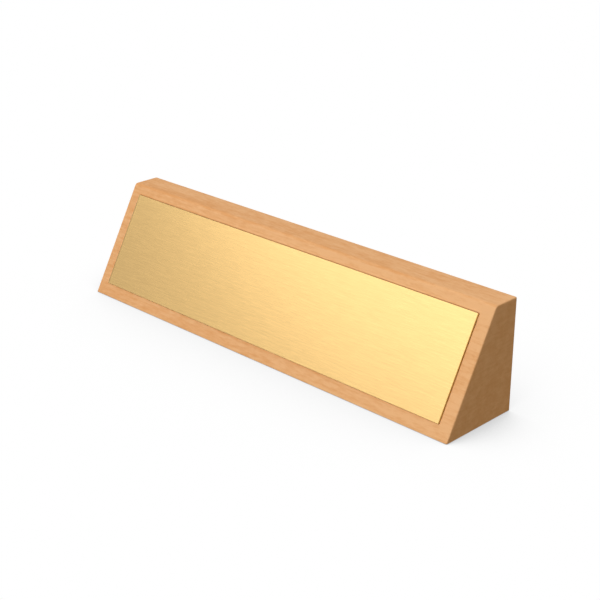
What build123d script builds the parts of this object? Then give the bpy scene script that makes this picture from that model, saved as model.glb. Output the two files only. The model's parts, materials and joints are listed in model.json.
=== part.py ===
from build123d import *
import os
from math import cos, radians, sin, tan

# Desk name plate: a solid wooden wedge with a brass plate let into its sloping front.
# Millimetres. X runs along the plate, the reader looks along +Y, and Z is up from the desk.
# The origin is on the desk, at the middle of the footprint.

# Wooden block, with its depths measured to the sharp corners, before the edges are eased
block_length = 250.0
block_height = 56.7
top_depth = 15.1
slope_angle = 61.2
edge_radius = 0.7
bottom_edge_radius = 0.3
top_front_extra_radius = 1.5

# Brass plate, and how it sits in its recess: low, so that the gap above it is the widest
plate_length = 235.5
plate_height = 52.0
plate_thickness = 1.2
plate_corner_radius = 0.4
plate_edge_break = 0.15
plate_proud = 0.9
plate_gap = 0.15
plate_top_extra_gap = 0.25
plate_raise = 0.8

# Double-sided tape behind the plate
tape_width = 12.0
tape_thickness = 0.5
tape_inset = 3.0

# Rubber feet, and the bores that they are stuck in
foot_diameter = 12.0
foot_thickness = 2.0
foot_stand = 0.1
foot_edge_break = 0.2
foot_clearance = 0.2
foot_inset = 5.0

# How far a cut runs past the surface that it opens
overrun = 2.0

# Profile of the block: underside, upright back, flat top and sloping front
slope = radians(slope_angle)
base_depth = top_depth + block_height / tan(slope)
front_setback = bottom_edge_radius * (1 / tan(slope / 2) - 1)
block_depth = base_depth - front_setback
underside_z = foot_stand
top_z = underside_z + block_height
back_y = block_depth / 2
front_y = back_y - base_depth
top_front_y = back_y - top_depth

# Plane of the sloping front, centred on the plate, with Y up the slope and Z out of the wood
slope_length = block_height / sin(slope)
plate_centre = slope_length / 2 + plate_raise
slope_plane = Plane(
    origin=(0, front_y + plate_centre * cos(slope), underside_z + plate_centre * sin(slope)),
    x_dir=(1, 0, 0),
    z_dir=(0, -sin(slope), cos(slope)),
)
recess_depth = plate_thickness + tape_thickness - plate_proud

# Places of the feet, each inset alike from the end and from the long side beside it
foot_x = block_length / 2 - foot_inset - foot_diameter / 2
foot_y = block_depth / 2 - foot_inset - foot_diameter / 2

os.makedirs("parts", exist_ok=True)

# Block: extruded profile, eased edges, recess for the plate and bores for the feet
with BuildPart() as wedge_block:
    with BuildSketch(Plane.YZ):
        with BuildLine():
            Polyline(
                (front_y, underside_z),
                (back_y, underside_z),
                (back_y, top_z),
                (top_front_y, top_z),
                close=True,
            )
        make_face()
    extrude(amount=block_length / 2, both=True)

    long_edges = wedge_block.edges().filter_by(Axis.X)
    top_front_edge = long_edges.group_by(Axis.Z)[-1].sort_by(Axis.Y)[0]
    fillet(top_front_edge, edge_radius + top_front_extra_radius)

    bottom_edges = wedge_block.faces().sort_by(Axis.Z)[0].edges()
    end_edges = wedge_block.faces().filter_by(Axis.X).edges()
    back_edges = wedge_block.edges().filter_by(Axis.X).group_by(Axis.Y)[-1]
    fillet(end_edges + back_edges - bottom_edges, edge_radius)
    fillet(wedge_block.faces().sort_by(Axis.Z)[0].edges(), bottom_edge_radius)

    with BuildSketch(slope_plane.offset(-recess_depth)):
        with Locations((0, plate_top_extra_gap / 2)):
            RectangleRounded(
                plate_length + 2 * plate_gap,
                plate_height + 2 * plate_gap + plate_top_extra_gap,
                plate_corner_radius + plate_gap,
            )
    extrude(amount=recess_depth + overrun, mode=Mode.SUBTRACT)

    with BuildSketch(Plane.XY):
        with GridLocations(2 * foot_x, 2 * foot_y, 2, 2):
            Circle(foot_diameter / 2 + foot_clearance)
    extrude(amount=foot_thickness, mode=Mode.SUBTRACT)
wedge_block.part.label = "wedge_block"
export_step(wedge_block.part, "parts/wedge_block.step")

# Plate: rolled sheet with its front edge broken
with BuildPart() as name_plate:
    with BuildSketch(slope_plane.offset(plate_proud)):
        RectangleRounded(plate_length, plate_height, plate_corner_radius)
    extrude(amount=-plate_thickness)
    front_face = name_plate.faces().sort_by(Axis(slope_plane.origin, slope_plane.z_dir))[-1]
    chamfer(front_face.edges(), plate_edge_break)
name_plate.part.label = "name_plate"
export_step(name_plate.part, "parts/name_plate.step")

# Tape: two strips between the floor of the recess and the plate
tape_offset = plate_height / 2 - tape_inset - tape_width / 2
for place, offset_up in (("upper", tape_offset), ("lower", -tape_offset)):
    with BuildPart() as tape:
        with BuildSketch(slope_plane.offset(-recess_depth)):
            with Locations((0, offset_up)):
                Rectangle(plate_length - 2 * tape_inset, tape_width)
        extrude(amount=tape_thickness)
    tape.part.label = f"{place}_tape"
    export_step(tape.part, f"parts/{place}_tape.step")

# Feet: discs that reach from the desk to the floors of their bores
for row, y in (("front", -foot_y), ("back", foot_y)):
    for side, x in (("left", -foot_x), ("right", foot_x)):
        with BuildPart() as foot:
            with BuildSketch(Plane((x, y, 0))):
                Circle(foot_diameter / 2)
            extrude(amount=foot_thickness)
            chamfer(foot.edges().group_by(Axis.Z)[0], foot_edge_break)
        foot.part.label = f"{row}_{side}_foot"
        export_step(foot.part, f"parts/{row}_{side}_foot.step")
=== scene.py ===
import json
from math import cos, pi, radians, sin

import bpy
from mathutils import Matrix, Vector


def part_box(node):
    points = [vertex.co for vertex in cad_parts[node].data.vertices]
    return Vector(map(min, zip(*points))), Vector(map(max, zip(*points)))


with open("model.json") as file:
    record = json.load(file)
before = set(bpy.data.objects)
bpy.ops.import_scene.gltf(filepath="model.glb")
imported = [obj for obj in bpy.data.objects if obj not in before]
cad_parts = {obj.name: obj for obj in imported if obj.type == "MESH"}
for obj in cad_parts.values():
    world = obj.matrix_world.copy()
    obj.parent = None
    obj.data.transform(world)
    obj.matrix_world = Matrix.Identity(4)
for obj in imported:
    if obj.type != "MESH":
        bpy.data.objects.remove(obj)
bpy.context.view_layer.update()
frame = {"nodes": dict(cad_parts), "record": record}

# Camera: the photograph's viewing angle, in degrees and metres
CAMERA_AZIMUTH = 44.632
CAMERA_ELEVATION = 22.867
CAMERA_DISTANCE = 0.6728
CAMERA_TARGET = (0.0, 0.01217, 0.02141)
LENS_MM = 79.08
SENSOR_MM = 36.0

# Light: a soft key lamp at the front left, a broader fill lamp in front and an even pale surround.
# Angles are in degrees, and a lamp's level is what it gives to a surface square to it.
KEY_AZIMUTH = -40.6
KEY_ELEVATION = 37.9
KEY_SPREAD = 37.4
KEY_LEVEL = 0.187
FILL_AZIMUTH = 0.0
FILL_ELEVATION = 20.0
FILL_SPREAD = 60.0
FILL_LEVEL = 0.318
SURROUND_LEVEL = 0.663
WHITE = (1.0, 1.0, 1.0, 1.0)
WHITE_LEVEL = 1.0

# Floor: seen as white, darker where the object hides the sky, and an even level to all other rays
FLOOR_SIZE = 6.0
FLOOR_LEVEL = 0.06
SHADOW_REACH = 1.0
SHADOW_DEPTH = 1.58
DEEPEST_SHADOW = 0.42
OPEN_SKY = 0.95

# Noise: the range that holds most of its values
NOISE_RANGE = (0.3, 0.7)

# Beech colours: early wood, late wood and end grain
BEECH_LIGHT = (0.847, 0.471, 0.220, 1.0)
BEECH_DARK = (0.752, 0.366, 0.143, 1.0)
BEECH_END = (0.62, 0.292, 0.092, 1.0)

# Beech growth layers: the pith's place and the thickness of a layer in metres, how many layers the
# figure bends them by, and where in a layer the late wood sets in and is at its full
PITH_Y = 0.03
PITH_Z = -0.16
RING_SPACING = 0.0026
RING_BEND = 4.0
LATE_WOOD_START = 0.35
LATE_WOOD_FULL = 0.95

# Beech features: sizes along the length, across and up, in metres
FIGURE_SIZE = (0.11, 0.009, 0.006)
STREAK_SIZE = (0.0075, 0.0016, 0.0013)
TONE_SIZE = (0.14, 0.012, 0.012)
TONE_SHIFT = (0.111, 0.168, 0.198)
BLOTCH_SIZE = (0.006, 0.004, 0.004)
FIBRE_SIZE = (0.003, 0.0008, 0.0008)
FLECK_SIZE = (0.0022, 0.0005, 0.0005)
END_LINE_SIZE = (0.020, 0.013, 0.0016)

# Beech tone: the shares of the dark colour that the features add, the ranges of noise that bring
# them in where these aren't the common one, and the drift of the dark share per metre along X, Y and
# Z, which is partly the wood's own tone and partly painted light and shade
LAYER_SHARE = 0.30
STREAK_SHARES = (-0.13, 0.47)
FIGURE_RANGE = (0.35, 0.70)
FIGURE_SHARES = (0.0, 0.25)
TONE_RANGE = (0.2, 0.8)
TONE_SHARES = (-0.154, 0.494)
BLOTCH_SHARES = (-0.1, 0.1)
FLECK_RANGE = (0.66, 0.78)
FLECK_SHARES = (0.0, 0.22)
FIBRE_SHARES = (-0.18, 0.18)
TONE_AND_SHADE_DRIFT = (-1.8, 6.0, -6.5)

# Beech edge, top and ends: the cosines over which a surface turns to face their way, the shares of
# darker colour (painted shade on the rounded edge and on the top's front, end grain on the ends), and
# the depths behind the plate's face, in metres, over which the front's painted shade fades
EDGE_FACING = (0.875, 0.97)
EDGE_SHADE_SHARE = 0.36
TOP_FACING = (0.5, 0.95)
FRONT_DEPTHS = (0.0014, 0.0080)
FRONT_SHADE_SHARE = 0.28
END_FACING = (0.6, 0.95)
END_BLOTCH_SHARES = (0.22, 0.35)
END_LINE_SHARES = (0.22, 0.40)

# Beech finish: roughness from light to dark wood, gloss, and the relief, with its depth in metres
BEECH_ROUGHNESS = (0.52, 0.64)
BEECH_GLOSS = 0.03
FIBRE_RELIEF_SHARE = 0.6
STREAK_RELIEF_SHARE = 0.4
BEECH_BUMP = 0.12
BEECH_DEPTH = 0.0002

# Brass: colours, then the brushed lines' length and width and the painted shade's width along the
# left edge, in metres
BRASS_LIGHT = (0.583, 0.3862, 0.1547, 1.0)
BRASS_DARK = (0.504, 0.3338, 0.1336, 1.0)
BRASS_SHADE_RIM = (0.20, 0.125, 0.05, 1.0)
BRASS_EDGE = (0.74, 0.56, 0.19, 1.0)
BRUSH_LENGTH = 0.012
BRUSH_WIDTH = 0.0005
SHADE_RIM_WIDTH = 0.0010
SHADE_RIM_SHARE = 0.8

# Brass finish: roughness over the range of the lines, its rise on the cut edges, the cosines over
# which a cut edge turns into the face, and the relief, with its depth in metres
BRUSH_RANGE = (0.25, 0.75)
BRASS_ROUGHNESS = (0.202, 0.208)
BRASS_ANISOTROPY = 0.72
CUT_FACING = (0.3, 0.9)
CUT_ROUGHNESS = 0.12
BRASS_BUMP = 0.10
BRASS_DEPTH = 0.00005

# Rubber and tape: colours, grain sizes in metres, roughness, and the relief of the grain
RUBBER_LIGHT = (0.045, 0.045, 0.047, 1.0)
RUBBER_DARK = (0.022, 0.022, 0.023, 1.0)
RUBBER_GRAIN = 0.0006
RUBBER_ROUGHNESS = (0.75, 0.9)
TAPE_LIGHT = (0.84, 0.82, 0.77, 1.0)
TAPE_DARK = (0.70, 0.68, 0.62, 1.0)
TAPE_GRAIN = 0.0005
TAPE_ROUGHNESS = (0.6, 0.8)
GRAIN_BUMP = 0.2
GRAIN_DEPTH_SHARE = 0.25

# Sockets of a Mix node that are used for colours
MIX_SHARE = 0
MIX_START = 6
MIX_END = 7
MIX_RESULT = 2


def direction(azimuth, elevation):
    """Unit vector towards a place seen from the origin; azimuth 0 is in front, at -Y."""
    turn = radians(azimuth)
    rise = radians(elevation)
    return Vector((sin(turn) * cos(rise), -cos(turn) * cos(rise), sin(rise)))


def new_object(name, data):
    """An object in the scene that holds a mesh, a lamp or a camera."""
    made = bpy.data.objects.new(name, data)
    bpy.context.scene.collection.objects.link(made)
    return made


def aim(thing, target):
    """Turns a lamp or the camera so that it looks at target."""
    way = Vector(target) - thing.location
    thing.rotation_euler = way.to_track_quat("-Z", "Y").to_euler()


def add(tree, kind, inputs=(), **settings):
    """A shader node with its settings, and each input linked to a socket or set to a value."""
    made = tree.nodes.new("ShaderNode" + kind)
    for name, value in settings.items():
        setattr(made, name, value)
    for key, value in dict(inputs).items():
        if isinstance(value, bpy.types.NodeSocket):
            tree.links.new(value, made.inputs[key])
        else:
            made.inputs[key].default_value = value
    return made


def maths(tree, operation, a, b=0.0):
    """The result of an operation on two sockets or numbers."""
    return add(tree, "Math", {0: a, 1: b}, operation=operation).outputs[0]


def total(tree, *parts):
    """The sum of several sockets."""
    result = parts[0]
    for part in parts[1:]:
        result = maths(tree, "ADD", result, part)
    return result


def dot(tree, a, b):
    """The dot product of a vector socket and a fixed vector."""
    return add(tree, "VectorMath", {0: a, 1: b}, operation="DOT_PRODUCT").outputs["Value"]


def component(tree, vector, axis):
    """The X, Y or Z of a vector socket."""
    return add(tree, "SeparateXYZ", {"Vector": vector}).outputs[axis]


def rescale(tree, value, low, high, to_low=0.0, to_high=1.0, smooth=True):
    """Value carried from low..high to to_low..to_high, and held at the ends."""
    kind = "SMOOTHSTEP" if smooth else "LINEAR"
    inputs = {"Value": value, "From Min": low, "From Max": high, "To Min": to_low, "To Max": to_high}
    return add(tree, "MapRange", inputs, interpolation_type=kind).outputs["Result"]


def tint(tree, share, start, end):
    """A colour between start and end."""
    inputs = {MIX_SHARE: share, MIX_START: start, MIX_END: end}
    return add(tree, "Mix", inputs, data_type="RGBA").outputs[MIX_RESULT]


def noise(tree, place, size, detail=2.0, roughness=0.5, shift=(0.0, 0.0, 0.0)):
    """Noise with features of the given size along X, Y and Z, shifted; all in metres."""
    scale = [1.0 / length for length in size]
    start = [way / length for way, length in zip(shift, size)]
    scaled = add(tree, "Mapping", {"Vector": place, "Location": start, "Scale": scale})
    inputs = {"Vector": scaled.outputs[0], "Scale": 1.0, "Detail": detail, "Roughness": roughness}
    return add(tree, "TexNoise", inputs).outputs["Fac"]


def emboss(tree, shader, height, strength, depth):
    """Gives a shader a relief of that depth in metres."""
    bump = add(tree, "Bump", {"Height": height, "Strength": strength, "Distance": depth})
    tree.links.new(bump.outputs[0], shader.inputs["Normal"])


def new_material(name):
    """A node material, its tree and its Principled shader."""
    made = bpy.data.materials.new(name)
    made.use_nodes = True
    return made, made.node_tree, made.node_tree.nodes["Principled BSDF"]


def growth_layers(tree, place, figure):
    """Late wood in layers about a pith line below the block, bent by the figure, from 0 to 1."""
    across = maths(tree, "SUBTRACT", component(tree, place, "Y"), PITH_Y)
    above = maths(tree, "SUBTRACT", component(tree, place, "Z"), PITH_Z)
    across_square = maths(tree, "MULTIPLY", across, across)
    above_square = maths(tree, "MULTIPLY", above, above)
    radius = maths(tree, "SQRT", maths(tree, "ADD", across_square, above_square))
    bend = maths(tree, "MULTIPLY", figure, RING_BEND * RING_SPACING)
    turns = maths(tree, "DIVIDE", maths(tree, "ADD", radius, bend), RING_SPACING)
    ring = maths(tree, "FRACT", turns)
    rise = rescale(tree, ring, LATE_WOOD_START, LATE_WOOD_FULL)
    fall = rescale(tree, ring, LATE_WOOD_FULL, 1.0)
    return maths(tree, "SUBTRACT", rise, fall)


def painted_edge_shade(tree, coordinates, face):
    """Painted shade: darker colour on the rounded edge above the slope, and on the front of the top.
    """
    slope_normal = Vector(face["axis"])
    edge_normal = (slope_normal + Vector((0.0, 0.0, 1.0))).normalized()
    rounded = dot(tree, coordinates["Normal"], edge_normal)
    edge = rescale(tree, rounded, *EDGE_FACING, 0.0, EDGE_SHADE_SHARE)

    plate_level = slope_normal.dot(Vector(face["pos_m"]))
    depth = maths(tree, "SUBTRACT", plate_level, dot(tree, coordinates["Object"], slope_normal))
    front = rescale(tree, depth, *FRONT_DEPTHS, FRONT_SHADE_SHARE, 0.0)
    top = rescale(tree, component(tree, coordinates["Normal"], "Z"), *TOP_FACING)
    return maths(tree, "ADD", edge, maths(tree, "MULTIPLY", front, top))


def end_grain(tree, coordinates, blotch):
    """The finish that end grain drinks, in blotches and lines, on both ends."""
    sideways = maths(tree, "ABSOLUTE", component(tree, coordinates["Normal"], "X"))
    lines = noise(tree, coordinates["Object"], END_LINE_SIZE, detail=3.0, roughness=0.65)
    soaked = total(
        tree,
        rescale(tree, blotch, *NOISE_RANGE, *END_BLOTCH_SHARES),
        rescale(tree, lines, *NOISE_RANGE, *END_LINE_SHARES),
    )
    return maths(tree, "MULTIPLY", rescale(tree, sideways, *END_FACING), soaked)


def beech(face):
    """Solid beech: growth layers that lie nearly flat, streaks along the length, fine flecks.

    face is the plate's mount, which gives the place and the direction of the slope.
    """
    made, tree, shader = new_material("beech")
    coordinates = add(tree, "TexCoord").outputs
    place = coordinates["Object"]

    figure = noise(tree, place, FIGURE_SIZE, detail=3.0)
    streak = noise(tree, place, STREAK_SIZE, detail=3.0, roughness=0.6)
    tone = noise(tree, place, TONE_SIZE, detail=1.0, shift=TONE_SHIFT)
    blotch = noise(tree, place, BLOTCH_SIZE)
    fibre = noise(tree, place, FIBRE_SIZE)
    fleck = noise(tree, place, FLECK_SIZE, detail=1.0)

    dark = total(
        tree,
        maths(tree, "MULTIPLY", growth_layers(tree, place, figure), LAYER_SHARE),
        rescale(tree, streak, *NOISE_RANGE, *STREAK_SHARES),
        rescale(tree, figure, *FIGURE_RANGE, *FIGURE_SHARES),
        rescale(tree, tone, *TONE_RANGE, *TONE_SHARES, smooth=False),
        rescale(tree, blotch, *NOISE_RANGE, *BLOTCH_SHARES),
        rescale(tree, fleck, *FLECK_RANGE, *FLECK_SHARES),
        rescale(tree, fibre, *NOISE_RANGE, *FIBRE_SHARES),
        # Partly wood tone, partly a painted highlight to the right and painted shade lower down and
        # towards the back
        dot(tree, place, TONE_AND_SHADE_DRIFT),
        # Painted shade on the rounded edge above the slope and on the front of the top
        painted_edge_shade(tree, coordinates, face),
    )
    colour = tint(tree, dark, BEECH_LIGHT, BEECH_DARK)
    colour = tint(tree, end_grain(tree, coordinates, blotch), colour, BEECH_END)
    tree.links.new(colour, shader.inputs["Base Color"])

    roughness = rescale(tree, dark, 0.0, 1.0, *BEECH_ROUGHNESS)
    tree.links.new(roughness, shader.inputs["Roughness"])
    shader.inputs["Specular IOR Level"].default_value = BEECH_GLOSS
    height = total(
        tree,
        maths(tree, "MULTIPLY", fibre, FIBRE_RELIEF_SHARE),
        maths(tree, "MULTIPLY", streak, STREAK_RELIEF_SHARE),
    )
    emboss(tree, shader, height, BEECH_BUMP, BEECH_DEPTH)
    return made


def brushed_brass(node, normal):
    """Brass brushed along X, on a plate whose face looks along normal."""
    made, tree, shader = new_material("brushed_brass")
    coordinates = add(tree, "TexCoord").outputs
    place = coordinates["Object"]

    line_size = (BRUSH_LENGTH, BRUSH_WIDTH, BRUSH_WIDTH)
    lines = noise(tree, place, line_size, detail=3.0, roughness=0.75)
    brightness = rescale(tree, lines, *NOISE_RANGE, smooth=False)
    colour = tint(tree, brightness, BRASS_DARK, BRASS_LIGHT)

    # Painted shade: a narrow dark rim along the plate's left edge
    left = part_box(node)[0][0]
    rim_shade = rescale(tree, component(tree, place, "X"), left, left + SHADE_RIM_WIDTH, SHADE_RIM_SHARE, 0.0)
    colour = tint(tree, rim_shade, colour, BRASS_SHADE_RIM)

    # The cut edges are bare metal, paler and rougher than the brushed face
    facing = dot(tree, coordinates["Normal"], normal)
    cut = rescale(tree, facing, *CUT_FACING, 1.0, 0.0)
    tree.links.new(tint(tree, cut, colour, BRASS_EDGE), shader.inputs["Base Color"])
    roughness = total(
        tree,
        rescale(tree, lines, *BRUSH_RANGE, *BRASS_ROUGHNESS),
        maths(tree, "MULTIPLY", cut, CUT_ROUGHNESS),
    )
    tree.links.new(roughness, shader.inputs["Roughness"])
    shader.inputs["Metallic"].default_value = 1.0
    shader.inputs["Anisotropic"].default_value = BRASS_ANISOTROPY

    # Brushing spreads light square to its lines: up the slope, and out of it at the cut edges
    up_slope = Vector(normal).cross(Vector((1.0, 0.0, 0.0)))
    square = up_slope + Vector(normal)
    tangent = add(tree, "CombineXYZ", dict(zip("XYZ", square)))
    tree.links.new(tangent.outputs[0], shader.inputs["Tangent"])
    emboss(tree, shader, lines, BRASS_BUMP, BRASS_DEPTH)
    return made


def grained(name, dark, light, grain, roughness):
    """A matt moulded surface with a fine grain."""
    made, tree, shader = new_material(name)
    place = add(tree, "TexCoord").outputs["Object"]
    specks = noise(tree, place, (grain, grain, grain), detail=3.0)
    colour = tint(tree, rescale(tree, specks, *NOISE_RANGE), dark, light)
    tree.links.new(colour, shader.inputs["Base Color"])
    tree.links.new(rescale(tree, specks, *NOISE_RANGE, *roughness), shader.inputs["Roughness"])
    emboss(tree, shader, specks, GRAIN_BUMP, grain * GRAIN_DEPTH_SHARE)
    return made


def dress(node, material):
    """Gives a CAD node its material."""
    slots = frame["nodes"][node].data.materials
    slots.clear()
    slots.append(material)


def seen_directly(tree):
    """1 for rays that the camera, a shiny surface or glass sends, and 0 for the rest."""
    path = add(tree, "LightPath").outputs
    seen = maths(tree, "MAXIMUM", path["Is Camera Ray"], path["Is Glossy Ray"])
    return maths(tree, "MAXIMUM", seen, path["Is Transmission Ray"])


def pale_floor():
    """A surface that shows white and keeps the object's soft shadow under an even sky."""
    made, tree, shader = new_material("floor")
    tree.nodes.remove(shader)
    sky = add(tree, "AmbientOcclusion", {"Distance": SHADOW_REACH}).outputs["AO"]
    hidden = rescale(tree, sky, 0.0, OPEN_SKY, 1.0, 0.0, smooth=False)
    shadow = maths(tree, "MULTIPLY", maths(tree, "MULTIPLY", hidden, hidden), SHADOW_DEPTH)
    white = maths(tree, "SUBTRACT", WHITE_LEVEL, maths(tree, "MINIMUM", shadow, DEEPEST_SHADOW))
    level = rescale(tree, seen_directly(tree), 0.0, 1.0, FLOOR_LEVEL, white, smooth=False)
    glow = add(tree, "Emission", {"Color": WHITE, "Strength": level})
    tree.links.new(glow.outputs[0], tree.nodes["Material Output"].inputs["Surface"])
    return made


def make_floor():
    """A plain square floor, level with the underside of the feet."""
    half = FLOOR_SIZE / 2
    mesh = bpy.data.meshes.new("floor")
    corners = [(-half, -half, 0), (half, -half, 0), (half, half, 0), (-half, half, 0)]
    mesh.from_pydata(corners, [], [(0, 1, 2, 3)])
    mesh.materials.append(pale_floor())
    floor = new_object("floor", mesh)


def make_surround():
    """An even world: a plain level of light, seen as white."""
    world = bpy.data.worlds.new("surround")
    bpy.context.scene.world = world
    world.use_nodes = True
    tree = world.node_tree
    background = tree.nodes["Background"]
    background.inputs["Color"].default_value = WHITE
    level = rescale(tree, seen_directly(tree), 0.0, 1.0, SURROUND_LEVEL, WHITE_LEVEL, smooth=False)
    tree.links.new(level, background.inputs["Strength"])


def make_lamp(name, azimuth, elevation, spread, level):
    """A soft far lamp, with the strength that gives its level on a surface square to it."""
    data = bpy.data.lights.new(name, "SUN")
    data.angle = radians(spread)
    data.energy = level * pi
    lamp = new_object(name, data)
    lamp.location = direction(azimuth, elevation)
    aim(lamp, (0.0, 0.0, 0.0))


def make_camera():
    """The photograph's camera."""
    data = bpy.data.cameras.new("camera")
    data.sensor_width = SENSOR_MM
    data.lens = LENS_MM
    camera = new_object("camera", data)
    away = direction(CAMERA_AZIMUTH, CAMERA_ELEVATION)
    camera.location = Vector(CAMERA_TARGET) + CAMERA_DISTANCE * away
    aim(camera, CAMERA_TARGET)
    bpy.context.scene.camera = camera


mounts = {mount["name"]: mount for mount in frame["record"]["mounts"]}
plate_face = mounts["plate_face"]
rubber = grained("foot_rubber", RUBBER_DARK, RUBBER_LIGHT, RUBBER_GRAIN, RUBBER_ROUGHNESS)
tape = grained("tape", TAPE_DARK, TAPE_LIGHT, TAPE_GRAIN, TAPE_ROUGHNESS)
dress("wedge_block", beech(plate_face))
dress("name_plate", brushed_brass("name_plate", plate_face["axis"]))
for node in frame["nodes"]:
    if node.endswith("_foot"):
        dress(node, rubber)
    if node.endswith("_tape"):
        dress(node, tape)

make_floor()
make_surround()
make_lamp("key_lamp", KEY_AZIMUTH, KEY_ELEVATION, KEY_SPREAD, KEY_LEVEL)
make_lamp("fill_lamp", FILL_AZIMUTH, FILL_ELEVATION, FILL_SPREAD, FILL_LEVEL)
make_camera()
bpy.context.scene.view_settings.view_transform = "Standard"
